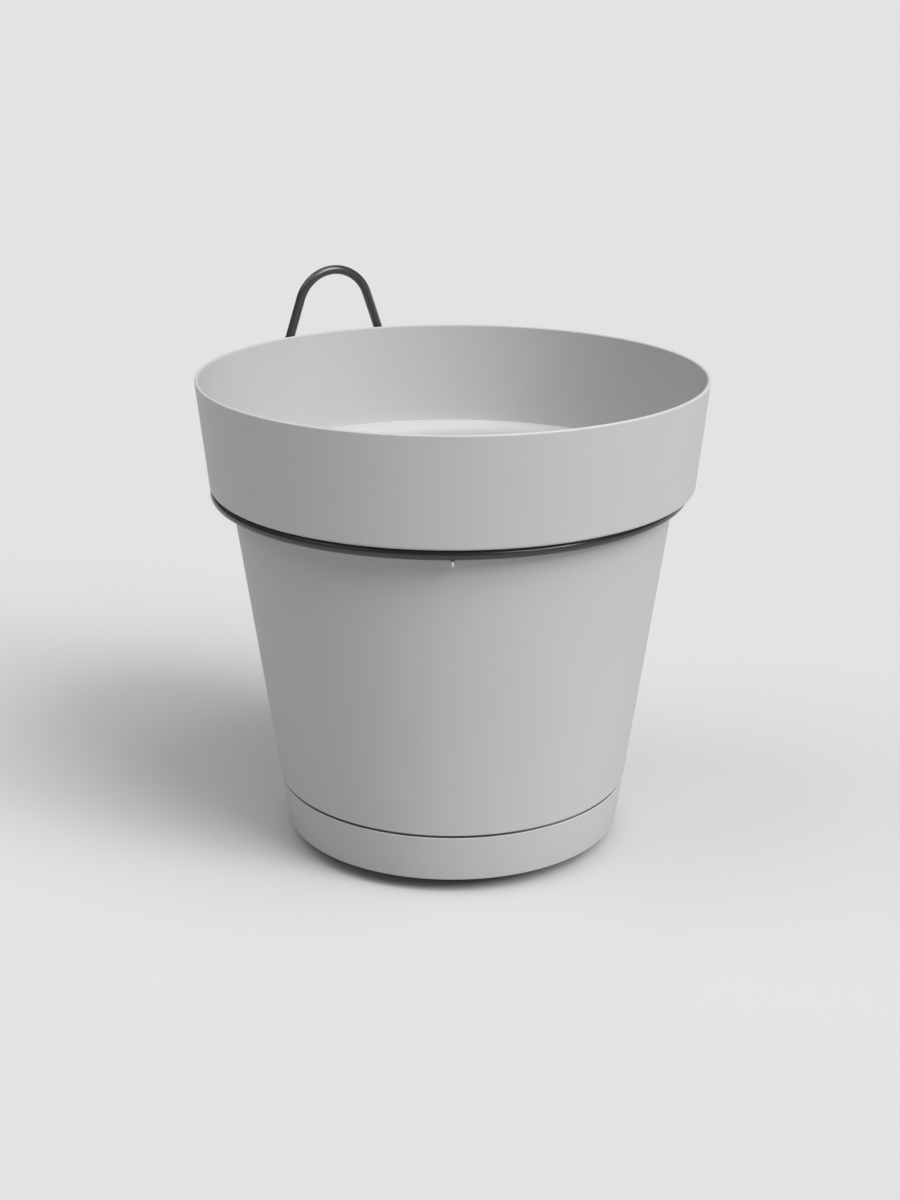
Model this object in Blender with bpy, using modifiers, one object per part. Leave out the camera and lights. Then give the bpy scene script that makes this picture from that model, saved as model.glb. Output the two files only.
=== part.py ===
# Wall-hung flower pot: a stepped plastic pot, a push-on saucer and a wire hanger.
# Metres, +Z up. The origin lies on the pot's axis, on the surface that the saucer stands on.
# The hanging loop is on the +Y side.
import math

import bmesh
import bpy
from mathutils import Matrix, Vector

# Pot
pot_height = 0.2287           # standing surface to rim, saucer in place
rim_radius = 0.120
wall = 0.0018                 # pot wall, apart from the ledge
rim_round = 0.0007
widest_rim_round = 0.45       # share of the wall that one rounding of the rim may take
collar_height = 0.0512
collar_draft = 0.00525        # how much narrower the collar is at its foot
collar_foot_round = 0.0014
ledge_width = 0.00915         # step in from the collar's foot to the body's outer face
ledge_slope = math.radians(3)
ledge_inner_round = 0.008     # inside, where the ledge turns down into the body
ledge_outer_round = 0.0048    # outside, between the ledge and the body
ledge_corner_round = 0.0002
ledge_wall = 0.0014
body_foot_radius = 0.08536    # outer face of the body where it meets the saucer
body_foot_round = 0.0002
spigot_draft = 0.0003         # how much narrower the spigot is at the floor
floor_round = 0.002

# Drain holes and standing pegs under the pot
drain_count = 6
drain_radius = 0.004
drain_circle = 0.036
peg_count = 6
peg_radius = 0.004
peg_inset = 0.006             # from the edge of the saucer's stand to each peg's centre
water_depth = 0.010           # from the saucer's floor up to the pot's underside

# Saucer
saucer_height = 0.02985
saucer_wall = 0.0018
saucer_draft = 0.0035         # how much narrower the saucer is at its raised lower edge
saucer_edge_height = 0.007
saucer_edge_round = 0.0004
saucer_corner_round = 0.001
saucer_lip_round = 0.0002
saucer_lip_land = 0.0006      # flat part of the lip, outside its inner bevel
saucer_lip_bevel = 0.0018     # depth of the bevel inside the lip
saucer_edge_land = 0.001      # flat part under the raised edge
stand_inset = 0.0155          # from the raised edge in to the flat stand

# Hanger
wire_radius = 0.0023
hoop_inset = 0.00386          # from the collar's foot in to the hoop's centre line
hanger_shift_x = -0.00136     # the loose hanger rests a little off the pot's axis
hanger_shift_y = 0.00079
loop_rise = 0.03085           # from the rim up to the top of the loop's centre line
loop_radius = 0.02            # bend at the loop's top, centre line
leg_spread = math.radians(19)
foot_bend = 0.006             # bend where each leg turns in to the hoop, centre line

# Retaining fins under the hoop
fin_count = 3
fin_angle = math.radians(240)
fin_thickness = 0.0012
fin_edge_height = 0.0022
fin_under_slope = math.radians(12)
fin_reach = 0.004             # how far a fin's tip passes the wire's centre line, at the least

# Clearances
saucer_gap = 0.0014           # shadow gap between the pot and the saucer's lip
saucer_fit = 0.0003           # between the saucer's wall and the pot's spigot
seat_gap = 0.0003             # between pieces that touch
hoop_play = 0.00033           # between the hoop's wire and the ledge above it
loop_clearance = 0.00035      # between the loop's wire and the rim

# Mesh fineness
turn_steps = 72
arc_steps = 3
fine_round = 0.001            # roundings below this size take fewer steps
fine_arc_steps = 2
rod_sides = 16
wire_sides = 10
bend_steps = 8
arch_steps = 20

# Radii, heights and tapers that follow from the sizes above
collar_foot_radius = rim_radius - collar_draft
collar_foot_z = pot_height - collar_height
body_top_radius = collar_foot_radius - ledge_width
body_foot_z = saucer_height + saucer_gap
body_taper = (body_top_radius - body_foot_radius) / (collar_foot_z - body_foot_z)
saucer_top_radius = body_foot_radius - body_taper * saucer_gap
saucer_foot_radius = saucer_top_radius - saucer_draft
saucer_taper = saucer_draft / (saucer_height - saucer_edge_height)
stand_radius = saucer_foot_radius - stand_inset
stand_rim = saucer_foot_radius - saucer_edge_land
stand_slope = math.atan2(saucer_edge_height, stand_rim - stand_radius)
pot_floor_z = saucer_wall + water_depth
hoop_radius = collar_foot_radius - hoop_inset
hanger_shift = math.hypot(hanger_shift_x, hanger_shift_y)
hoop_inner_reach = hoop_inset + hanger_shift
hoop_z = (collar_foot_z - hoop_inner_reach * math.tan(ledge_slope)
          - wire_radius / math.cos(ledge_slope) - hoop_play)
# The hanger is symmetric about its own Y axis. It is turned until its loop meets the pot's Y axis.
loop_reach = math.hypot(rim_radius + wire_radius + loop_clearance - hanger_shift_y, hanger_shift_x)
hanger_twist = math.asin(hanger_shift_x / loop_reach)


def body_radius(z):
    return body_foot_radius + body_taper * (z - body_foot_z)


def saucer_radius(z):
    return saucer_foot_radius + saucer_taper * (z - saucer_edge_height)


def spigot_radius(z):
    share = (z - pot_floor_z) / (body_foot_z - pot_floor_z)
    return saucer_radius(pot_floor_z) - saucer_wall - saucer_fit + spigot_draft * share


def clear_scene():
    for thing in list(bpy.data.objects):
        bpy.data.objects.remove(thing, do_unlink=True)


def new_collection(name):
    collection = bpy.data.collections.new(name)
    bpy.context.scene.collection.children.link(collection)
    return collection


def new_material(name, grey, roughness, metallic):
    material = bpy.data.materials.new(name)
    material.use_nodes = True
    shader = material.node_tree.nodes["Principled BSDF"]
    shader.inputs["Base Color"].default_value = (grey, grey, grey, 1)
    shader.inputs["Roughness"].default_value = roughness
    shader.inputs["Metallic"].default_value = metallic
    return material


def arc_between(before, corner, after, radius, steps):
    # Points of the arc that rounds a corner, in two or three dimensions.
    to_before = (before - corner).normalized()
    to_after = (after - corner).normalized()
    half = to_before.angle(to_after) / 2
    reach = radius / math.tan(half)
    middle = (to_before + to_after).normalized()
    centre = corner + middle * (radius / math.sin(half))
    start = corner + to_before * reach - centre
    end = corner + to_after * reach - centre
    sweep = math.pi - 2 * half
    points = []
    for step in range(steps + 1):
        turn = sweep * step / steps
        mixed = start * math.sin(sweep - turn) + end * math.sin(turn)
        points.append(centre + mixed / math.sin(sweep))
    return points


def rounded_outline(corners):
    # Each corner is (radius from the axis, height, rounding).
    places = [Vector(corner[:2]) for corner in corners]
    points = [places[0]]
    for index in range(1, len(corners) - 1):
        rounding = corners[index][2]
        steps = fine_arc_steps if rounding < fine_round else arc_steps
        if rounding > 0:
            points += arc_between(*places[index - 1:index + 2], rounding, steps)
        else:
            points.append(places[index])
    points.append(places[-1])
    return points


def turned_piece(name, corners, material, collection):
    points = rounded_outline(corners)
    mesh = bpy.data.meshes.new(name)
    edges = [(index, index + 1) for index in range(len(points) - 1)]
    mesh.from_pydata([(point.x, 0, point.y) for point in points], edges, [])
    mesh.materials.append(material)
    piece = bpy.data.objects.new(name, mesh)
    collection.objects.link(piece)
    screw = piece.modifiers.new("Turn", "SCREW")
    screw.axis = "Z"
    screw.steps = turn_steps
    screw.render_steps = turn_steps
    screw.use_merge_vertices = True
    screw.merge_threshold = 0.00001
    screw.use_smooth_shade = True
    return piece


def make_tool(name, mesh, collection):
    tool = bpy.data.objects.new(name, mesh)
    tool.hide_render = True
    tool.display_type = "WIRE"
    collection.objects.link(tool)
    return tool


def round_tools(name, count, circle, radius, bottom, top, first_angle, collection):
    # One mesh of upright round rods, spaced evenly on a circle.
    shape = bmesh.new()
    for index in range(count):
        angle = first_angle + 2 * math.pi * index / count
        place = Vector((circle * math.cos(angle), circle * math.sin(angle), (bottom + top) / 2))
        bmesh.ops.create_cone(
            shape, cap_ends=True, segments=rod_sides, radius1=radius, radius2=radius,
            depth=top - bottom, matrix=Matrix.Translation(place))
    mesh = bpy.data.meshes.new(name)
    shape.to_mesh(mesh)
    shape.free()
    return make_tool(name, mesh, collection)


def apply_tool(piece, tool, operation):
    boolean = piece.modifiers.new(tool.name, "BOOLEAN")
    boolean.operation = operation
    boolean.object = tool


def fin_mesh(collection):
    # A thin upright gusset in the XZ plane: flat on top, sloping back to the wall underneath.
    top = hoop_z - wire_radius - seat_gap
    root = body_radius(top) - wall / 2
    tip = hoop_radius - hanger_shift + fin_reach
    low = top - fin_edge_height
    foot = low - (tip - root) * math.tan(fin_under_slope)
    outline = [(root, top), (tip, top), (tip, low), (body_radius(foot) - wall / 2, foot)]
    data = bpy.data.curves.new("fin_outline", "CURVE")
    data.dimensions = "2D"
    data.fill_mode = "BOTH"
    data.extrude = fin_thickness / 2
    spline = data.splines.new("POLY")
    spline.points.add(len(outline) - 1)
    for point, (across, height) in zip(spline.points, outline):
        point.co = (across, height, 0, 1)
    spline.use_cyclic_u = True
    curve = bpy.data.objects.new("fin_outline", data)
    collection.objects.link(curve)
    bpy.context.view_layer.update()
    evaluated = curve.evaluated_get(bpy.context.evaluated_depsgraph_get())
    mesh = bpy.data.meshes.new_from_object(evaluated)
    shape = bmesh.new()
    shape.from_mesh(mesh)
    bmesh.ops.remove_doubles(shape, verts=shape.verts, dist=0.00001)
    bmesh.ops.recalc_face_normals(shape, faces=shape.faces)
    bmesh.ops.rotate(shape, verts=shape.verts, matrix=Matrix.Rotation(math.pi / 2, 3, "X"))
    shape.to_mesh(mesh)
    shape.free()
    bpy.data.objects.remove(curve, do_unlink=True)
    return mesh


def make_pot(material, parts, cutters):
    ledge_tan = math.tan(ledge_slope)
    ledge_drop = ledge_width * ledge_tan / (1 - body_taper * ledge_tan)
    ledge_z = collar_foot_z - ledge_drop
    # The inner faces lie one wall inside the outer ones.
    ledge_top_z = ledge_z + ledge_wall
    collar_inner_radius = collar_foot_radius - wall + wall * collar_draft / collar_height
    ledge_outer_z = collar_foot_z + ledge_wall - wall * ledge_tan
    floor_top_z = pot_floor_z + wall
    spigot_top_z = body_foot_z + wall
    rim_edge_round = min(rim_round, widest_rim_round * wall)
    corners = [
        (0, floor_top_z, 0),
        (spigot_radius(floor_top_z) - wall, floor_top_z, floor_round),
        (spigot_radius(body_foot_z) - wall, body_foot_z, 0),
        (body_radius(spigot_top_z) - wall, spigot_top_z, 0),
        (body_radius(ledge_top_z) - wall, ledge_top_z, ledge_inner_round),
        (collar_inner_radius, ledge_outer_z, ledge_corner_round),
        (rim_radius - wall, pot_height, rim_edge_round),
        (rim_radius, pot_height, rim_edge_round),
        (collar_foot_radius, collar_foot_z, collar_foot_round),
        (body_radius(ledge_z), ledge_z, ledge_outer_round),
        (body_foot_radius, body_foot_z, body_foot_round),
        (spigot_radius(body_foot_z), body_foot_z, 0),
        (spigot_radius(pot_floor_z), pot_floor_z, floor_round),
        (0, pot_floor_z, 0),
    ]
    pot = turned_piece("pot", corners, material, parts)
    drains = round_tools("drain_cutter", drain_count, drain_circle, drain_radius,
                         pot_floor_z - wall, floor_top_z + wall, 0, cutters)
    apply_tool(pot, drains, "DIFFERENCE")
    pegs = round_tools("peg_rods", peg_count, stand_radius - peg_inset, peg_radius,
                       saucer_wall + seat_gap, pot_floor_z + wall / 2, math.pi / peg_count, cutters)
    apply_tool(pot, pegs, "UNION")
    mesh = fin_mesh(cutters)
    for index in range(fin_count):
        fin = make_tool("fin_%d" % (index + 1), mesh, cutters)
        fin.rotation_euler.z = fin_angle + 2 * math.pi * index / fin_count
        apply_tool(pot, fin, "UNION")
    return pot


def make_saucer(material, parts):
    # The bottom slopes down from the raised edge to the flat stand.
    floor_radius = stand_radius - saucer_wall * math.tan(stand_slope / 2)
    inner_foot = saucer_radius(0) - saucer_wall
    spread = 1 / math.tan(stand_slope)
    corner_z = (inner_foot - floor_radius + saucer_wall * spread) / (spread - saucer_taper)
    bevel_z = saucer_height - saucer_lip_bevel
    bevel_radius = saucer_radius(bevel_z) - saucer_wall
    corners = [
        (0, saucer_wall, 0),
        (floor_radius, saucer_wall, 0),
        (saucer_radius(corner_z) - saucer_wall, corner_z, saucer_corner_round),
        (bevel_radius, bevel_z, 0),
        (saucer_top_radius - saucer_lip_land, saucer_height, saucer_lip_round),
        (saucer_top_radius, saucer_height, saucer_lip_round),
        (saucer_foot_radius, saucer_edge_height, saucer_edge_round),
        (stand_rim, saucer_edge_height, 0),
        (stand_radius, 0, 0),
        (0, 0, 0),
    ]
    return turned_piece("saucer", corners, material, parts)


def make_hoop(material, parts, pivot):
    bpy.ops.mesh.primitive_torus_add(
        major_radius=hoop_radius, minor_radius=wire_radius,
        major_segments=turn_steps, minor_segments=wire_sides)
    hoop = bpy.context.object
    hoop.name = "hanger_hoop"
    for owner in list(hoop.users_collection):
        owner.objects.unlink(hoop)
    parts.objects.link(hoop)
    hoop.data.materials.append(material)
    hoop.data.shade_smooth()
    hoop.parent = pivot
    hoop.location = (hanger_shift_x, hanger_shift_y, 0)
    hoop.rotation_euler.z = hanger_twist
    return hoop


def loop_path():
    # Centre line of the hanging loop, from one weld on the hoop over the top to the other.
    # It is drawn round the hoop's centre, in the hoop's plane.
    arch_z = pot_height + loop_rise - loop_radius - hoop_z
    shoulder = Vector((loop_radius * math.cos(leg_spread), loop_reach,
                       arch_z + loop_radius * math.sin(leg_spread)))
    corner = Vector((shoulder.x + shoulder.z * math.tan(leg_spread), loop_reach, 0))
    weld = corner.normalized() * (hoop_radius + wire_radius + seat_gap)
    half = [weld] + arc_between(weld, corner, shoulder, foot_bend, bend_steps)
    for step in range(arch_steps // 2):
        share = step / (arch_steps / 2)
        angle = leg_spread + (math.pi / 2 - leg_spread) * share
        half.append(Vector((loop_radius * math.cos(angle), loop_reach,
                            arch_z + loop_radius * math.sin(angle))))
    top = Vector((0, loop_reach, arch_z + loop_radius))
    mirrored = [Vector((-point.x, point.y, point.z)) for point in reversed(half)]
    return half + [top] + mirrored


def make_loop(material, parts, pivot):
    data = bpy.data.curves.new("hanger_loop", "CURVE")
    data.dimensions = "3D"
    data.bevel_depth = wire_radius
    data.bevel_resolution = wire_sides // 2 - 2
    data.use_fill_caps = True
    path = loop_path()
    spline = data.splines.new("POLY")
    spline.points.add(len(path) - 1)
    for point, place in zip(spline.points, path):
        point.co = (*place, 1)
    spline.use_smooth = True
    loop = bpy.data.objects.new("hanger_loop", data)
    data.materials.append(material)
    parts.objects.link(loop)
    loop.parent = pivot
    loop.location = (hanger_shift_x, hanger_shift_y, 0)
    loop.rotation_euler.z = hanger_twist
    return loop


def main():
    clear_scene()
    parts = new_collection("wall_hung_flower_pot")
    cutters = new_collection("cutters")
    pot_plastic = new_material("pot_plastic", 0.7, 0.52, 0)
    saucer_plastic = new_material("saucer_plastic", 0.7, 0.52, 0)
    hoop_coat = new_material("hoop_coat", 0.035, 0.25, 0)
    loop_coat = new_material("loop_coat", 0.036, 0.25, 0)
    make_pot(pot_plastic, parts, cutters)
    make_saucer(saucer_plastic, parts)
    pivot = bpy.data.objects.new("hanger_pivot", None)
    pivot.location.z = hoop_z
    parts.objects.link(pivot)
    make_hoop(hoop_coat, parts, pivot)
    make_loop(loop_coat, parts, pivot)


main()
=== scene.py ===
# Wall-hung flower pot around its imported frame: grained plastic pot and saucer, coated wire hanger.
import math

import bmesh
import bpy
from mathutils import Matrix, Vector, noise


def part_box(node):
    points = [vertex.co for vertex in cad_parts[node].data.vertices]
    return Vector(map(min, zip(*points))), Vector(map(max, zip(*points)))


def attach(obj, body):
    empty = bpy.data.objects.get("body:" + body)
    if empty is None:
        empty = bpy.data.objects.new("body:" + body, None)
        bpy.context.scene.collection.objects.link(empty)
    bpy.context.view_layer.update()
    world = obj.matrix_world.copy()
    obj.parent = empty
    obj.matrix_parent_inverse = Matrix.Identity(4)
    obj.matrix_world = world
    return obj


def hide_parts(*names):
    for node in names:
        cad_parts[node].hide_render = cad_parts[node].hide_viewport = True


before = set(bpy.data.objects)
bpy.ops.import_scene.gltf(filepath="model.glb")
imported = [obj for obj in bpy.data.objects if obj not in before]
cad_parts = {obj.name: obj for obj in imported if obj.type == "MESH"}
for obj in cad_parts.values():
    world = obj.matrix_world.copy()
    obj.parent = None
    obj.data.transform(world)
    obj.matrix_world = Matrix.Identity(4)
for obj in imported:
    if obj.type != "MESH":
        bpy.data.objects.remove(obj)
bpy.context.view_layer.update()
print("frame loaded:", ", ".join(sorted(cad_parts)))

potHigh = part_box("pot")[1]
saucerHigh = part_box("saucer")[1]
hoopLow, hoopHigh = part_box("hanger_hoop")
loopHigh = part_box("hanger_loop")[1]

potForm = {
    "rimRadius": 0.120,
    "wall": 0.0018,
    "rimRound": 0.0007,
    "collarHeight": 0.0512,
    "collarDraft": 0.00525,
    "collarFootRound": 0.0014,
    "ledgeWidth": 0.00915,
    "ledgeSlope": math.radians(3),
    "ledgeInnerRound": 0.008,  # inside, where the ledge turns down into the body
    "ledgeOuterRound": 0.0048,
    "ledgeCornerRound": 0.0002,
    "ledgeWall": 0.0014,
    "bodyFootRadius": 0.08536,
    "bodyFootRound": 0.0002,
    "floorRound": 0.002,
    "waterDepth": 0.010,       # saucer floor to the pot's underside
    "saucerGap": 0.0014,       # dark line above the saucer
    "saucerFit": 0.0003,
    "spigotDraft": 0.0003,
    "segments": 192,
}
saucerForm = {
    "wall": 0.0018,
    "draft": 0.0035,
    "edgeHeight": 0.007,
    "edgeRound": 0.0004,
    "cornerRound": 0.001,
    "lipRound": 0.0002,
    "lipLand": 0.0006,
    "lipBevel": 0.0018,        # depth of the bevel inside the lip
    "edgeLand": 0.001,         # flat part under the raised edge
    "standInset": 0.0155,
    "standRound": 0.0004,
    "segments": 192,
}
wireForm = {
    "radius": 0.0023,
    "sides": 24,
    "hoopPoints": 240,
    "seatGap": 0.0003,
    "archRadius": 0.02,
    "legSpread": math.radians(19),
    "footBend": 0.006,
    "footSteps": 16,
    "archSteps": 28,
    "loopClearance": 0.00035,  # between the loop's wire and the rim
}

# heights and radii shared by the pieces, measured on the frame
rimZ = potHigh.z
rimRadius = potForm["rimRadius"]
collarFootZ = rimZ - potForm["collarHeight"]
collarFootRadius = rimRadius - potForm["collarDraft"]
bodyTopRadius = collarFootRadius - potForm["ledgeWidth"]
saucerTopZ = saucerHigh.z
bodyFootZ = saucerTopZ + potForm["saucerGap"]
bodyTaper = (bodyTopRadius - potForm["bodyFootRadius"]) / (collarFootZ - bodyFootZ)
saucerTopRadius = potForm["bodyFootRadius"] - bodyTaper * potForm["saucerGap"]
saucerFootRadius = saucerTopRadius - saucerForm["draft"]
saucerTaper = saucerForm["draft"] / (saucerTopZ - saucerForm["edgeHeight"])
standRadius = saucerFootRadius - saucerForm["standInset"]
standRim = saucerFootRadius - saucerForm["edgeLand"]
standSlope = math.atan2(saucerForm["edgeHeight"], standRim - standRadius)
potFloorZ = saucerForm["wall"] + potForm["waterDepth"]
hoopCentre = (hoopLow + hoopHigh) / 2
hoopRadius = (hoopHigh.x - hoopLow.x) / 2 - wireForm["radius"]
hangerShift = hoopCentre.xy.length  # the loose hanger rests a little off the pot's axis
loopPlace = Vector((0, rimRadius + wireForm["radius"] + wireForm["loopClearance"]))
loopReach = (loopPlace - hoopCentre.xy).length
hangerTwist = math.asin(hoopCentre.x / loopReach)
loopTopZ = loopHigh.z - wireForm["radius"]


def bodyRadius(z):
    return potForm["bodyFootRadius"] + bodyTaper * (z - bodyFootZ)


def saucerRadius(z):
    return saucerFootRadius + saucerTaper * (z - saucerForm["edgeHeight"])


def spigotRadius(z):
    share = (z - potFloorZ) / (bodyFootZ - potFloorZ)
    fitted = saucerRadius(potFloorZ) - saucerForm["wall"] - potForm["saucerFit"]
    return fitted + potForm["spigotDraft"] * share


# outlines
outline = {
    "arcSteps": 6,
    "support": 0.0003,         # how far the extra points stand from each corner
    "shortestRun": 0.0012,
    "longestRun": 0.004,
    "widestEdge": 0.003,       # a larger rounding isn't rubbed as an edge
}
meshCare = {
    "merge": 0.000002,
    "doubles": 0.000001,
    "mouldedCrease": math.radians(40),
    "wireCrease": math.radians(50),
    "weldCrease": math.radians(60),
}


def arcBetween(before, corner, after, radius, steps):
    toBefore = (before - corner).normalized()
    toAfter = (after - corner).normalized()
    half = toBefore.angle(toAfter) / 2
    reach = radius / math.tan(half)
    centre = corner + (toBefore + toAfter).normalized() * (radius / math.sin(half))
    start = corner + toBefore * reach - centre
    end = corner + toAfter * reach - centre
    sweep = math.pi - 2 * half
    points = []
    for step in range(steps + 1):
        turn = sweep * step / steps
        mixed = start * math.sin(sweep - turn) + end * math.sin(turn)
        points.append(centre + mixed / math.sin(sweep))
    return points


def roundedOutline(corners, paintedShadeCorners):  # corners are (radius, height, rounding)
    places = [Vector(corner[:2]) for corner in corners]
    points = [(places[0], 0, 0)]           # place, share of edge, share of painted shade
    for index in range(1, len(corners) - 1):
        rounding = corners[index][2]
        paintedShade = 1 if index in paintedShadeCorners else 0
        if rounding > 0:
            arc = arcBetween(*places[index - 1:index + 2], rounding, outline["arcSteps"])
            edge = 1 if rounding < outline["widestEdge"] else 0
            points += [(place, edge, paintedShade) for place in arc]
        else:
            points.append((places[index], 1, paintedShade))
    points.append((places[-1], 0, 0))
    return points


def supportedOutline(points):  # extra points hold the shading flat right up to each rounding
    result = [points[0]]
    for start, end in zip(points, points[1:]):
        run = (end[0] - start[0]).length
        if run > outline["shortestRun"]:
            edge = outline["support"] / run
            count = max(1, math.ceil(run / outline["longestRun"]))
            for step in range(count + 1):
                place = start[0].lerp(end[0], edge + (1 - 2 * edge) * step / count)
                result.append((place, 0, min(start[2], end[2])))
        result.append(end)
    return result


outlineMarks = ("edgeShare", "paintedShadeShare")


# node trees
def newTree(name, inputs):
    tree = bpy.data.node_groups.new(name, "GeometryNodeTree")
    tree.interface.new_socket("Geometry", in_out="INPUT", socket_type="NodeSocketGeometry")
    for label, kind in inputs:
        tree.interface.new_socket(label, in_out="INPUT", socket_type="NodeSocket" + kind)
    tree.interface.new_socket("Geometry", in_out="OUTPUT", socket_type="NodeSocketGeometry")
    return tree, tree.nodes.new("NodeGroupInput"), tree.nodes.new("NodeGroupOutput")


def mathNode(tree, operation, first, second=None):
    node = tree.nodes.new("ShaderNodeMath")
    node.operation = operation
    for socket, value in zip(node.inputs, (first, second)):
        if isinstance(value, bpy.types.NodeSocket):
            tree.links.new(value, socket)
        elif value is not None:
            socket.default_value = value
    return node.outputs[0]


def endTree(tree, geometry, source, target):  # realize, smooth, paint
    realize = tree.nodes.new("GeometryNodeRealizeInstances")
    smooth = tree.nodes.new("GeometryNodeSetShadeSmooth")
    paint = tree.nodes.new("GeometryNodeSetMaterial")
    tree.links.new(geometry, smooth.inputs["Geometry"])
    tree.links.new(smooth.outputs[0], realize.inputs[0])
    tree.links.new(realize.outputs[0], paint.inputs["Geometry"])
    tree.links.new(source.outputs["Material"], paint.inputs["Material"])
    tree.links.new(paint.outputs[0], target.inputs[0])


def makeTurnedTree():  # spins an outline in the XZ plane round Z, with the outline's marks
    tree, source, target = newTree("turnedWall", [("Segments", "Int"), ("Material", "Material")])
    size = tree.nodes.new("GeometryNodeAttributeDomainSize")
    grid = tree.nodes.new("GeometryNodeMeshGrid")
    index = tree.nodes.new("GeometryNodeInputIndex").outputs[0]
    profile = source.outputs["Geometry"]
    segments = source.outputs["Segments"]
    rows = size.outputs["Point Count"]
    tree.links.new(profile, size.inputs["Geometry"])
    tree.links.new(mathNode(tree, "ADD", segments, 1), grid.inputs["Vertices X"])
    tree.links.new(rows, grid.inputs["Vertices Y"])
    row = mathNode(tree, "MODULO", index, rows)
    column = mathNode(tree, "FLOOR", mathNode(tree, "DIVIDE", index, rows))

    def sampled(kind, value):
        sample = tree.nodes.new("GeometryNodeSampleIndex")
        sample.data_type = kind
        tree.links.new(profile, sample.inputs["Geometry"])
        tree.links.new(value, sample.inputs["Value"])
        tree.links.new(row, sample.inputs["Index"])
        return sample.outputs[0]

    apart = tree.nodes.new("ShaderNodeSeparateXYZ")
    position = tree.nodes.new("GeometryNodeInputPosition").outputs[0]
    tree.links.new(sampled("FLOAT_VECTOR", position), apart.inputs[0])
    turn = mathNode(tree, "DIVIDE", mathNode(tree, "MULTIPLY", column, 2 * math.pi), segments)
    place = tree.nodes.new("ShaderNodeCombineXYZ")
    across = apart.outputs["X"]
    tree.links.new(mathNode(tree, "MULTIPLY", across, mathNode(tree, "COSINE", turn)), place.inputs["X"])
    tree.links.new(mathNode(tree, "MULTIPLY", across, mathNode(tree, "SINE", turn)), place.inputs["Y"])
    tree.links.new(apart.outputs["Z"], place.inputs["Z"])
    move = tree.nodes.new("GeometryNodeSetPosition")
    tree.links.new(grid.outputs["Mesh"], move.inputs["Geometry"])
    tree.links.new(place.outputs[0], move.inputs["Position"])
    shape = move.outputs[0]
    for mark in outlineMarks:
        named = tree.nodes.new("GeometryNodeInputNamedAttribute")
        named.inputs["Name"].default_value = mark
        store = tree.nodes.new("GeometryNodeStoreNamedAttribute")
        store.inputs["Name"].default_value = mark
        tree.links.new(shape, store.inputs["Geometry"])
        tree.links.new(sampled("FLOAT", named.outputs["Attribute"]), store.inputs["Value"])
        shape = store.outputs[0]
    merge = tree.nodes.new("GeometryNodeMergeByDistance")
    merge.inputs["Distance"].default_value = meshCare["merge"]
    tree.links.new(shape, merge.inputs["Geometry"])
    endTree(tree, merge.outputs[0], source, target)
    return tree


def makeRingTree():  # copies one shape round Z
    inputs = [("Count", "Int"), ("First Angle", "Float"), ("Material", "Material")]
    tree, source, target = newTree("ringOfCopies", inputs)
    points = tree.nodes.new("GeometryNodePoints")
    tree.links.new(source.outputs["Count"], points.inputs["Count"])
    index = tree.nodes.new("GeometryNodeInputIndex").outputs[0]
    fullTurns = mathNode(tree, "MULTIPLY", index, 2 * math.pi)
    share = mathNode(tree, "DIVIDE", fullTurns, source.outputs["Count"])
    turn = tree.nodes.new("ShaderNodeCombineXYZ")
    tree.links.new(mathNode(tree, "ADD", share, source.outputs["First Angle"]), turn.inputs["Z"])
    copies = tree.nodes.new("GeometryNodeInstanceOnPoints")
    tree.links.new(points.outputs[0], copies.inputs["Points"])
    tree.links.new(source.outputs["Geometry"], copies.inputs["Instance"])
    tree.links.new(turn.outputs[0], copies.inputs["Rotation"])
    endTree(tree, copies.outputs[0], source, target)
    return tree


def makeWireTree():  # round wire along a curve
    inputs = [("Wire Radius", "Float"), ("Sides", "Int"), ("Material", "Material")]
    tree, source, target = newTree("roundWire", inputs)
    section = tree.nodes.new("GeometryNodeCurvePrimitiveCircle")
    tree.links.new(source.outputs["Sides"], section.inputs["Resolution"])
    tree.links.new(source.outputs["Wire Radius"], section.inputs["Radius"])
    sweep = tree.nodes.new("GeometryNodeCurveToMesh")
    sweep.inputs["Fill Caps"].default_value = True
    tree.links.new(source.outputs["Geometry"], sweep.inputs["Curve"])
    tree.links.new(section.outputs["Curve"], sweep.inputs["Profile Curve"])
    endTree(tree, sweep.outputs[0], source, target)
    return tree


def addObject(name, data):
    thing = bpy.data.objects.new(name, data)
    bpy.context.scene.collection.objects.link(thing)
    return thing


def setInput(modifier, label, value):
    for item in modifier.node_group.interface.items_tree:
        if item.item_type == "SOCKET" and item.in_out == "INPUT" and item.name == label:
            modifier[item.identifier] = value


def grow(thing, tree, **values):  # runs a tree on an object and keeps the result as a plain mesh
    modifier = thing.modifiers.new(tree.name, "NODES")
    modifier.node_group = tree
    for label, value in values.items():
        setInput(modifier, label.replace("_", " "), value)
    return settle(thing)


def settle(thing):
    name = thing.name
    bpy.context.view_layer.update()
    shown = thing.evaluated_get(bpy.context.evaluated_depsgraph_get())
    mesh = bpy.data.meshes.new_from_object(shown)
    thing.name = name + ".draft"
    bpy.data.objects.remove(thing, do_unlink=True)
    mesh.name = name
    return addObject(name, mesh)


def outlineObject(name, points):
    mesh = bpy.data.meshes.new(name)
    edges = [(index, index + 1) for index in range(len(points) - 1)]
    mesh.from_pydata([(place.x, 0, place.y) for place, edge, paintedShade in points], edges, [])
    for offset, mark in enumerate(outlineMarks):
        layer = mesh.attributes.new(mark, "FLOAT", "POINT")
        layer.data.foreach_set("value", [point[1 + offset] for point in points])
    return addObject(name, mesh)


def pathObject(name, points, closed):
    data = bpy.data.curves.new(name, "CURVE")
    data.dimensions = "3D"
    spline = data.splines.new("POLY")
    spline.points.add(len(points) - 1)
    for point, place in zip(spline.points, points):
        point.co = (*place, 1)
    spline.use_cyclic_u = closed
    return addObject(name, data)


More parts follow.
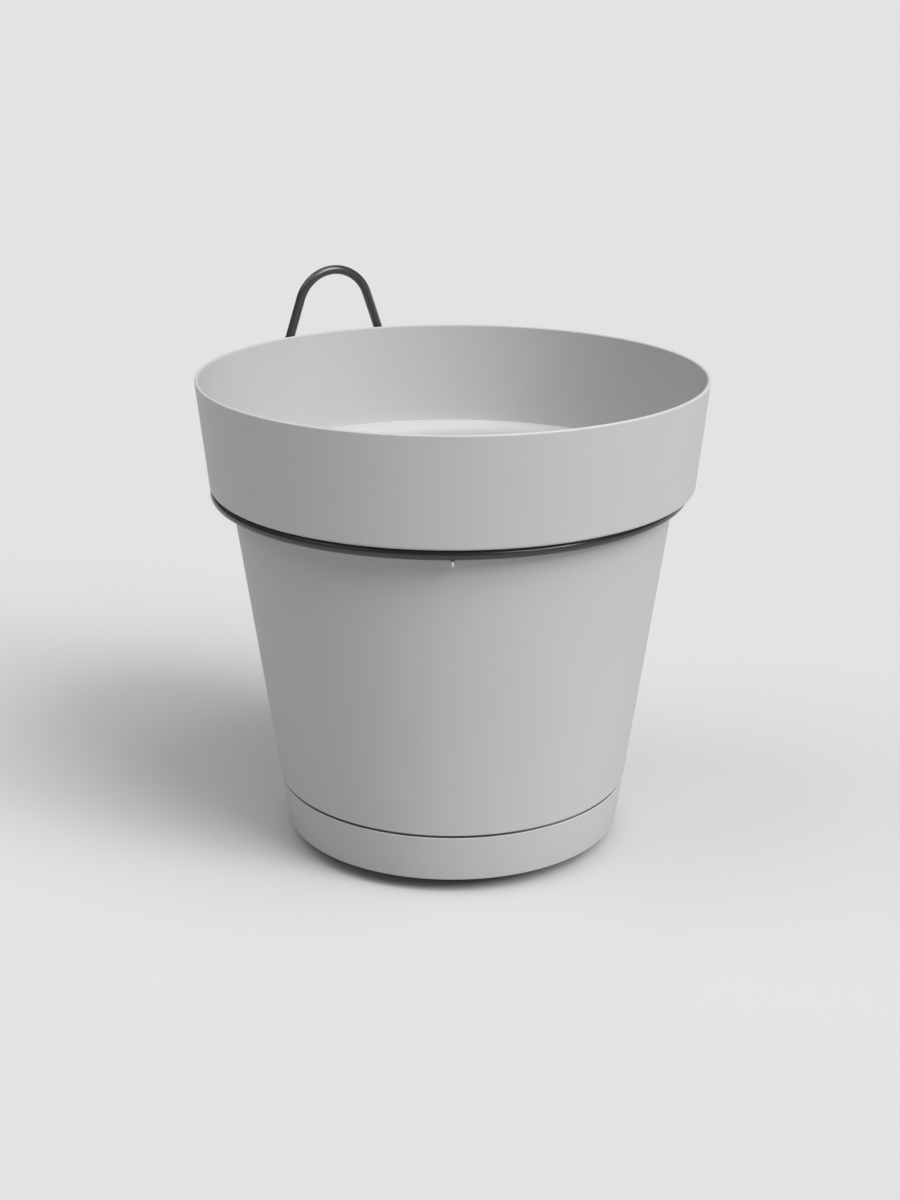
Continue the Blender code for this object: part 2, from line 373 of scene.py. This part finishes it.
def cleanMesh(mesh, sharpAngle):
    shape = bmesh.new()
    shape.from_mesh(mesh)
    bmesh.ops.remove_doubles(shape, verts=shape.verts, dist=meshCare["doubles"])
    bmesh.ops.recalc_face_normals(shape, faces=shape.faces)
    shape.to_mesh(mesh)
    shape.free()
    mesh.shade_smooth()
    mesh.set_sharp_from_angle(angle=sharpAngle)


def combine(piece, tool, operation):
    boolean = piece.modifiers.new(tool.name, "BOOLEAN")
    boolean.operation = operation
    boolean.object = tool
    piece = settle(piece)
    bpy.data.objects.remove(tool, do_unlink=True)
    return piece


# materials
noiseSpread = (0.3, 0.7)       # where most values of a noise lie
plasticLook = {                # each noise has its scale and its detail
    "grey": 0.715,
    "paintedShadeGrey": 0.655,        # painted shade: the collar's inner faces and the ledge are darker, standing in for the shade inside the pot
    "edgeGrey": 0.03,          # paler where edges have been rubbed
    "variation": 0.012,        # slow drift of the grey
    "drift": (14, 3),
    "roughness": 0.52,
    "roughnessDrift": 0.05,
    "edgePolish": 0.12,
    "rub": (160, 2),           # breaks the rubbed edges up
    "rubSpread": (0.42, 0.6),
    "grain": (1500, 2),        # spark-eroded mould texture
    "grainHeight": 0.00006,
    "grainStrength": 0.35,
    "speckle": 0.05,           # grain in the grey itself
    "wave": (35, 1),           # faint unevenness of a thin wall
    "waveHeight": 0.00003,
    "waveStrength": 0.3,
    "gloss": 0.35,
}
hoopLook = {
    "grey": 0.036,
    "fleckGrey": 0.041,
    "fleck": (5200, 1),
    "fleckSpread": (0.35, 0.75),
    "roughness": 0.22,
    "roughnessDrift": 0.02,
    "peel": (900, 2),          # orange peel of the powder coat
    "peelHeight": 0.000003,
    "peelStrength": 0.2,
    "gloss": 0.6,
}
paintedLightLoopLook = {                   # painted light: the hoop's coat made paler and glossier, so the loop out in the open reads as lit
    **hoopLook,
    "grey": 0.052,
    "fleckGrey": 0.058,
    "gloss": 0.85,
}


def newMaterial(name):
    material = bpy.data.materials.new(name)
    material.use_nodes = True
    tree = material.node_tree
    coords = tree.nodes.new("ShaderNodeTexCoord").outputs["Object"]
    return material, tree, tree.nodes["Principled BSDF"], coords


def noiseNode(tree, coords, scale, detail):
    texture = tree.nodes.new("ShaderNodeTexNoise")
    texture.inputs["Scale"].default_value = scale
    texture.inputs["Detail"].default_value = detail
    tree.links.new(coords, texture.inputs["Vector"])
    return texture.outputs["Fac"]


def rangeNode(tree, value, fromLow, fromHigh, toLow, toHigh):
    node = tree.nodes.new("ShaderNodeMapRange")
    numbers = (fromLow, fromHigh, toLow, toHigh)
    for label, number in zip(("From Min", "From Max", "To Min", "To Max"), numbers):
        node.inputs[label].default_value = number
    tree.links.new(value, node.inputs["Value"])
    return node.outputs["Result"]


def bumpNode(tree, height, distance, strength, before=None):
    node = tree.nodes.new("ShaderNodeBump")
    node.inputs["Distance"].default_value = distance
    node.inputs["Strength"].default_value = strength
    tree.links.new(height, node.inputs["Height"])
    if before is not None:
        tree.links.new(before, node.inputs["Normal"])
    return node.outputs["Normal"]


def greyNode(tree, value):
    grey = tree.nodes.new("ShaderNodeCombineColor")
    for socket in grey.inputs:
        tree.links.new(value, socket)
    return grey.outputs["Color"]


def markNode(tree, mark):
    node = tree.nodes.new("ShaderNodeAttribute")
    node.attribute_name = mark
    return node.outputs["Fac"]


def driftingRoughness(tree, look, value):
    low, high = look["roughness"] - look["roughnessDrift"], look["roughness"] + look["roughnessDrift"]
    return rangeNode(tree, value, *noiseSpread, low, high)


def makePlastic(name, look):
    material, tree, shader, coords = newMaterial(name)
    edge, paintedShade = (markNode(tree, mark) for mark in outlineMarks)
    drift = noiseNode(tree, coords, *look["drift"])
    grain = noiseNode(tree, coords, *look["grain"])
    wave = noiseNode(tree, coords, *look["wave"])
    rubNoise = rangeNode(tree, noiseNode(tree, coords, *look["rub"]), *look["rubSpread"], 0, 1)
    rub = mathNode(tree, "MULTIPLY", edge, rubNoise)
    # painted shade: faces marked inside the collar get the darker grey
    grey = rangeNode(tree, paintedShade, 0, 1, look["grey"], look["paintedShadeGrey"])
    shift = rangeNode(tree, drift, *noiseSpread, -look["variation"], look["variation"])
    grey = mathNode(tree, "ADD", grey, shift)
    speckle = rangeNode(tree, grain, 0, 1, -look["speckle"] / 2, look["speckle"] / 2)
    grey = mathNode(tree, "ADD", grey, speckle)
    grey = mathNode(tree, "ADD", grey, mathNode(tree, "MULTIPLY", rub, look["edgeGrey"]))
    tree.links.new(greyNode(tree, grey), shader.inputs["Base Color"])
    polish = mathNode(tree, "MULTIPLY", rub, look["edgePolish"])
    rough = mathNode(tree, "SUBTRACT", driftingRoughness(tree, look, drift), polish)
    tree.links.new(rough, shader.inputs["Roughness"])
    wavy = bumpNode(tree, wave, look["waveHeight"], look["waveStrength"])
    grainy = bumpNode(tree, grain, look["grainHeight"], look["grainStrength"], wavy)
    tree.links.new(grainy, shader.inputs["Normal"])
    shader.inputs["Specular IOR Level"].default_value = look["gloss"]
    return material


def makeCoat(name, look):
    material, tree, shader, coords = newMaterial(name)
    fleck = noiseNode(tree, coords, *look["fleck"])
    peel = noiseNode(tree, coords, *look["peel"])
    grey = rangeNode(tree, fleck, *look["fleckSpread"], look["grey"], look["fleckGrey"])
    tree.links.new(greyNode(tree, grey), shader.inputs["Base Color"])
    tree.links.new(driftingRoughness(tree, look, peel), shader.inputs["Roughness"])
    peeled = bumpNode(tree, peel, look["peelHeight"], look["peelStrength"])
    tree.links.new(peeled, shader.inputs["Normal"])
    shader.inputs["Specular IOR Level"].default_value = look["gloss"]
    return material


potPlastic = makePlastic("potPlastic", plasticLook)
saucerPlastic = makePlastic("saucerPlastic", plasticLook)
hoopCoat = makeCoat("hoopCoat", hoopLook)
# painted light: the loop and weld beads get a paler, glossier copy of the hoop's coat
paintedLightLoopCoat = makeCoat("paintedLightLoopCoat", paintedLightLoopLook)
print("materials mixed")

turnedTree = makeTurnedTree()
ringTree = makeRingTree()
wireTree = makeWireTree()


# pot
def potOutline():
    wall = potForm["wall"]
    slope = math.tan(potForm["ledgeSlope"])
    ledgeZ = collarFootZ - potForm["ledgeWidth"] * slope / (1 - bodyTaper * slope)
    collarInner = collarFootRadius - wall + wall * potForm["collarDraft"] / potForm["collarHeight"]
    ledgeTopZ = ledgeZ + potForm["ledgeWall"]
    floorTopZ = potFloorZ + wall
    spigotTopZ = bodyFootZ + wall
    return [
        (0, floorTopZ, 0),
        (spigotRadius(floorTopZ) - wall, floorTopZ, potForm["floorRound"]),
        (spigotRadius(bodyFootZ) - wall, bodyFootZ, potForm["bodyFootRound"]),
        (bodyRadius(spigotTopZ) - wall, spigotTopZ, potForm["bodyFootRound"]),
        (bodyRadius(ledgeTopZ) - wall, ledgeTopZ, potForm["ledgeInnerRound"]),
        (collarInner, collarFootZ + potForm["ledgeWall"] - wall * slope, potForm["ledgeCornerRound"]),
        (rimRadius - wall, rimZ, potForm["rimRound"]),
        (rimRadius, rimZ, potForm["rimRound"]),
        (collarFootRadius, collarFootZ, potForm["collarFootRound"]),
        (bodyRadius(ledgeZ), ledgeZ, potForm["ledgeOuterRound"]),
        (potForm["bodyFootRadius"], bodyFootZ, potForm["bodyFootRound"]),
        (spigotRadius(bodyFootZ), bodyFootZ, 0),
        (spigotRadius(potFloorZ), potFloorZ, potForm["floorRound"]),
        (0, potFloorZ, 0),
    ]


def turned(name, corners, paintedShadeCorners, segments, material):
    points = supportedOutline(roundedOutline(corners, paintedShadeCorners))
    return grow(outlineObject(name, points), turnedTree, Segments=segments, Material=material)


def shiftedRing(name, piece, distance, count, firstAngle, material):
    piece.data.transform(Matrix.Translation((distance, 0, 0)))
    piece.name = name
    return grow(piece, ringTree, Count=count, First_Angle=firstAngle, Material=material)


drainForm = {"count": 6, "radius": 0.004, "circle": 0.036, "lip": 0.0006, "segments": 48}


def makeDrains():  # cutters whose ends flare, so that each hole gets a rounded lip
    radius, lip = drainForm["radius"], drainForm["lip"]
    bottom, top = potFloorZ, potFloorZ + potForm["wall"]
    corners = [(0, top + lip, 0), (radius + lip, top + lip, 0), (radius + lip, top, 0)]
    corners += [(radius, top, lip), (radius, bottom, lip), (radius + lip, bottom, 0)]
    corners += [(radius + lip, bottom - lip, 0), (0, bottom - lip, 0)]
    drain = turned("drain", corners, (), drainForm["segments"], potPlastic)
    return shiftedRing("drains", drain, drainForm["circle"], drainForm["count"], 0, potPlastic)


pegForm = {"count": 6, "radius": 0.004, "inset": 0.006, "round": 0.001, "segments": 48}


def makePegs():
    radius = pegForm["radius"]
    top = potFloorZ + potForm["wall"] / 2
    bottom = saucerForm["wall"] + wireForm["seatGap"]
    corners = [(0, top, 0), (radius, top, 0), (radius, bottom, pegForm["round"]), (0, bottom, 0)]
    peg = turned("peg", corners, (), pegForm["segments"], potPlastic)
    step = math.pi / pegForm["count"]
    return shiftedRing("pegs", peg, standRadius - pegForm["inset"], pegForm["count"], step, potPlastic)


finForm = {
    "count": 3,
    "firstAngle": math.radians(240),
    "thickness": 0.0012,
    "edgeHeight": 0.0022,
    "underSlope": math.radians(12),
    "reach": 0.004,            # tip past the wire's centre line, at the least
    "edgeRound": 0.0002,
    "edgeSteps": 2,
}


def makeFins():
    top = hoopCentre.z - wireForm["radius"] - wireForm["seatGap"]
    root = bodyRadius(top) - potForm["wall"] / 2
    tip = hoopRadius - hangerShift + finForm["reach"]
    low = top - finForm["edgeHeight"]
    foot = low - (tip - root) * math.tan(finForm["underSlope"])
    corners = [(root, top), (tip, top), (tip, low), (bodyRadius(foot) - potForm["wall"] / 2, foot)]
    shape = bmesh.new()
    side = [shape.verts.new((x, -finForm["thickness"] / 2, z)) for x, z in corners]
    face = shape.faces.new(side)
    pulled = bmesh.ops.extrude_face_region(shape, geom=[face])
    moved = [item for item in pulled["geom"] if isinstance(item, bmesh.types.BMVert)]
    bmesh.ops.translate(shape, verts=moved, vec=(0, finForm["thickness"], 0))
    bmesh.ops.bevel(shape, geom=shape.edges[:], offset=finForm["edgeRound"],
                    segments=finForm["edgeSteps"], affect="EDGES")
    bmesh.ops.recalc_face_normals(shape, faces=shape.faces)
    mesh = bpy.data.meshes.new("fin")
    shape.to_mesh(mesh)
    shape.free()
    fin = addObject("fin", mesh)
    return shiftedRing("fins", fin, 0, finForm["count"], finForm["firstAngle"], potPlastic)


# painted shade on corners 4 to 6: the ledge and the collar's inner faces
potShell = turned("potShell", potOutline(), (4, 5, 6), potForm["segments"], potPlastic)
cleanMesh(potShell.data, meshCare["mouldedCrease"])
potShell = combine(potShell, makeDrains(), "DIFFERENCE")
potShell = combine(potShell, makePegs(), "UNION")
potShell = combine(potShell, makeFins(), "UNION")
cleanMesh(potShell.data, meshCare["mouldedCrease"])
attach(potShell, "pot")
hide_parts("pot")
print("pot turned:", len(potShell.data.polygons), "faces")


# saucer
def saucerOutline():
    wall = saucerForm["wall"]
    floorRadius = standRadius - wall * math.tan(standSlope / 2)
    spread = 1 / math.tan(standSlope)
    cornerZ = (saucerRadius(0) - wall - floorRadius + wall * spread) / (spread - saucerTaper)
    bevelZ = saucerTopZ - saucerForm["lipBevel"]
    small = saucerForm["standRound"]
    return [
        (0, wall, 0),
        (floorRadius, wall, small),
        (saucerRadius(cornerZ) - wall, cornerZ, saucerForm["cornerRound"]),
        (saucerRadius(bevelZ) - wall, bevelZ, saucerForm["lipRound"]),
        (saucerTopRadius - saucerForm["lipLand"], saucerTopZ, saucerForm["lipRound"]),
        (saucerTopRadius, saucerTopZ, saucerForm["lipRound"]),
        (saucerFootRadius, saucerForm["edgeHeight"], saucerForm["edgeRound"]),
        (standRim, saucerForm["edgeHeight"], small),
        (standRadius, 0, small),
        (0, 0, 0),
    ]


saucerTray = turned("saucerTray", saucerOutline(), (), saucerForm["segments"], saucerPlastic)
cleanMesh(saucerTray.data, meshCare["mouldedCrease"])
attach(saucerTray, "saucer")
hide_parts("saucer")
print("saucer turned:", len(saucerTray.data.polygons), "faces")


# hanger, drawn round the hoop's centre and then put in its place
hangerPlace = Matrix.Translation(hoopCentre) @ Matrix.Rotation(hangerTwist, 4, "Z")


def hoopPath():
    points = []
    for step in range(wireForm["hoopPoints"]):
        turn = 2 * math.pi * step / wireForm["hoopPoints"]
        points.append(Vector((hoopRadius * math.cos(turn), hoopRadius * math.sin(turn), 0)))
    return points


def loopPath():
    arch, spread = wireForm["archRadius"], wireForm["legSpread"]
    archZ = loopTopZ - arch - hoopCentre.z
    shoulder = Vector((arch * math.cos(spread), loopReach, archZ + arch * math.sin(spread)))
    corner = Vector((shoulder.x + shoulder.z * math.tan(spread), loopReach, 0))
    weld = corner.normalized() * (hoopRadius + wireForm["radius"] + wireForm["seatGap"])
    half = [weld] + arcBetween(weld, corner, shoulder, wireForm["footBend"], wireForm["footSteps"])
    for step in range(wireForm["archSteps"]):
        angle = spread + (math.pi / 2 - spread) * step / wireForm["archSteps"]
        half.append(Vector((arch * math.cos(angle), loopReach, archZ + arch * math.sin(angle))))
    mirrored = [Vector((-point.x, point.y, point.z)) for point in reversed(half)]
    return half + [Vector((0, loopReach, archZ + arch))] + mirrored


def makeWire(name, points, closed, coat):
    placed = [hangerPlace @ point for point in points]
    wire = grow(pathObject(name, placed, closed), wireTree,
                Wire_Radius=wireForm["radius"], Sides=wireForm["sides"], Material=coat)
    cleanMesh(wire.data, meshCare["wireCrease"])
    return wire


weldForm = {
    "radius": 0.0028,
    "squash": 0.82,
    "sag": 0.0005,
    "ripple": 0.0002,
    "rippleScale": 900,
    "sides": 28,
    "rings": 16,
}


def makeWelds(ends):  # a small uneven bead where each foot meets the hoop
    shape = bmesh.new()
    radius = weldForm["radius"]
    size = Matrix.Diagonal((radius, radius, radius * weldForm["squash"], 1))
    for place, outward in ends:
        turn = outward.to_track_quat("Z", "Y").to_matrix().to_4x4()
        bmesh.ops.create_uvsphere(shape, u_segments=weldForm["sides"], v_segments=weldForm["rings"],
                                  radius=1, matrix=Matrix.Translation(place) @ turn @ size)
    shape.normal_update()
    for point in shape.verts:
        point.co += point.normal * (weldForm["ripple"] * noise.noise(point.co * weldForm["rippleScale"]))
    mesh = bpy.data.meshes.new("weldBeads")
    shape.to_mesh(mesh)
    shape.free()
    mesh.materials.append(paintedLightLoopCoat)
    return addObject("weldBeads", mesh)


hoopWire = makeWire("hoopWire", hoopPath(), True, hoopCoat)
loopPoints = loopPath()
loopWire = makeWire("loopWire", loopPoints, False, paintedLightLoopCoat)
weldEnds = []
for end in (loopPoints[0], loopPoints[-1]):
    bead = end - end.normalized() * wireForm["seatGap"] - Vector((0, 0, weldForm["sag"]))
    weldEnds.append((hangerPlace @ bead, hangerPlace.to_3x3() @ end.normalized()))
weldBeads = makeWelds(weldEnds)
cleanMesh(weldBeads.data, meshCare["weldCrease"])
for piece, slot in ((hoopWire, "hoop_coat"), (loopWire, "loop_coat"), (weldBeads, "loop_coat")):
    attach(piece, "hanger")
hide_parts("hanger_hoop")
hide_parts("hanger_loop")
print("hanger bent:", len(hoopWire.data.polygons) + len(loopWire.data.polygons), "faces")

# stage
stageLook = {
    "floorGrey": 0.768,
    "nearBounce": 0.05,        # what the floor sends back up at the object, close to it and further off
    "farBounce": 0.43,
    "nearRadius": 0.08,
    "farRadius": 0.092,
    "floorRadius": 40.0,
    "floorSides": 96,
    "floorDrop": 0.0001,
    "backGrey": 0.768,
    "topGrey": 0.06,           # unlit room that glossy pieces mirror above the backdrop
    "backEdge": (0.0, 0.12),   # height of its soft upper edge, as the sine of the angle above the floor
    "domeStrength": 0.148,
}
lamps = [  # turn is degrees to the right of the camera, rise degrees above the floor
    {"name": "keyLamp", "turn": 50, "rise": 42, "strength": 1.41, "softness": 34},
    {"name": "highKeyLamp", "turn": 60, "rise": 62, "strength": 0.55, "softness": 34},
    {"name": "lowKeyLamp", "turn": 60, "rise": 30, "strength": 0.255, "softness": 12},
    {"name": "frontLamp", "turn": 30, "rise": 60, "strength": 0.33, "softness": 40},
    {"name": "leftLamp", "turn": 285, "rise": 56, "strength": 0.53, "softness": 40},
    {"name": "topLamp", "turn": 0, "rise": 90, "strength": 0.285, "softness": 44},
    {"name": "backLamp", "turn": 205, "rise": 56, "strength": 0.125, "softness": 44},
]
cameraPlace = {
    "turn": math.radians(-30),
    "distance": 0.893,
    "aboveRim": 0.1939,
    "pitch": math.radians(18.92),
    "yaw": math.radians(0.08),
    "lens": 58.26,
    "nearClip": 0.01,
}


def plainlySeen(tree):  # 1 where the camera looks at the stage, straight or through a clear piece
    rays = tree.nodes.new("ShaderNodeLightPath").outputs
    return mathNode(tree, "MAXIMUM", rays["Is Camera Ray"], rays["Is Transmission Ray"])


def seenNode(tree):  # the same, or where a gloss mirrors the stage
    rays = tree.nodes.new("ShaderNodeLightPath").outputs
    return mathNode(tree, "MAXIMUM", plainlySeen(tree), rays["Is Glossy Ray"])


def makeFloor():
    shape = bmesh.new()
    bmesh.ops.create_circle(shape, cap_ends=True, segments=stageLook["floorSides"],
                            radius=stageLook["floorRadius"])
    bmesh.ops.translate(shape, verts=shape.verts, vec=(0, 0, -stageLook["floorDrop"]))
    mesh = bpy.data.meshes.new("paleFloor")
    shape.to_mesh(mesh)
    shape.free()
    material, tree, shader, coords = newMaterial("paleFloor")
    away = tree.nodes.new("ShaderNodeVectorMath")
    away.operation = "LENGTH"
    tree.links.new(coords, away.inputs[0])
    bounce = rangeNode(tree, away.outputs["Value"], stageLook["nearRadius"], stageLook["farRadius"],
                       stageLook["nearBounce"], stageLook["farBounce"])
    shown = mathNode(tree, "MULTIPLY", seenNode(tree), stageLook["floorGrey"])
    grey = mathNode(tree, "MAXIMUM", bounce, shown)
    tree.links.new(greyNode(tree, grey), shader.inputs["Base Color"])
    shader.inputs["Roughness"].default_value = 1
    shader.inputs["Specular IOR Level"].default_value = 0
    mesh.materials.append(material)
    floor = addObject("paleFloor", mesh)
    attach(floor, "saucer")  # the saucer stands on it, also when the pot is lifted off


def makeWorld():
    world = bpy.data.worlds.new("studio")
    bpy.context.scene.world = world
    world.use_nodes = True
    tree = world.node_tree
    dome = tree.nodes["Background"]
    dome.inputs["Color"].default_value = (1, 1, 1, 1)
    dome.inputs["Strength"].default_value = stageLook["domeStrength"]
    back = tree.nodes.new("ShaderNodeBackground")
    apart = tree.nodes.new("ShaderNodeSeparateXYZ")
    tree.links.new(tree.nodes.new("ShaderNodeTexCoord").outputs["Generated"], apart.inputs[0])
    mirrored = rangeNode(tree, apart.outputs["Z"], *stageLook["backEdge"],
                         stageLook["backGrey"], stageLook["topGrey"])
    plain = mathNode(tree, "MULTIPLY", plainlySeen(tree), stageLook["backGrey"])
    tree.links.new(greyNode(tree, mathNode(tree, "MAXIMUM", mirrored, plain)), back.inputs["Color"])
    mix = tree.nodes.new("ShaderNodeMixShader")
    tree.links.new(seenNode(tree), mix.inputs[0])
    tree.links.new(dome.outputs[0], mix.inputs[1])
    tree.links.new(back.outputs[0], mix.inputs[2])
    tree.links.new(mix.outputs[0], tree.nodes["World Output"].inputs["Surface"])


def makeLamps():
    for lamp in lamps:
        data = bpy.data.lights.new(lamp["name"], "SUN")
        data.energy = lamp["strength"]
        data.angle = math.radians(lamp["softness"])
        light = addObject(lamp["name"], data)
        turn = cameraPlace["turn"] + math.radians(lamp["turn"])
        rise = math.radians(lamp["rise"])
        flat = Vector((math.sin(turn), -math.cos(turn), 0)) * math.cos(rise)
        towards = flat + Vector((0, 0, math.sin(rise)))
        light.rotation_euler = towards.to_track_quat("Z", "Y").to_euler()


def makeCamera():
    data = bpy.data.cameras.new("photoCamera")
    data.lens = cameraPlace["lens"]
    data.clip_start = cameraPlace["nearClip"]
    camera = addObject("photoCamera", data)
    turn, distance = cameraPlace["turn"], cameraPlace["distance"]
    height = rimZ + cameraPlace["aboveRim"]
    camera.location = (distance * math.sin(turn), -distance * math.cos(turn), height)
    camera.rotation_euler = (math.pi / 2 - cameraPlace["pitch"], 0, turn + cameraPlace["yaw"])
    bpy.context.scene.camera = camera


makeFloor()
makeWorld()
makeLamps()
makeCamera()
bpy.context.scene.view_settings.view_transform = "Standard"
print("stage set")
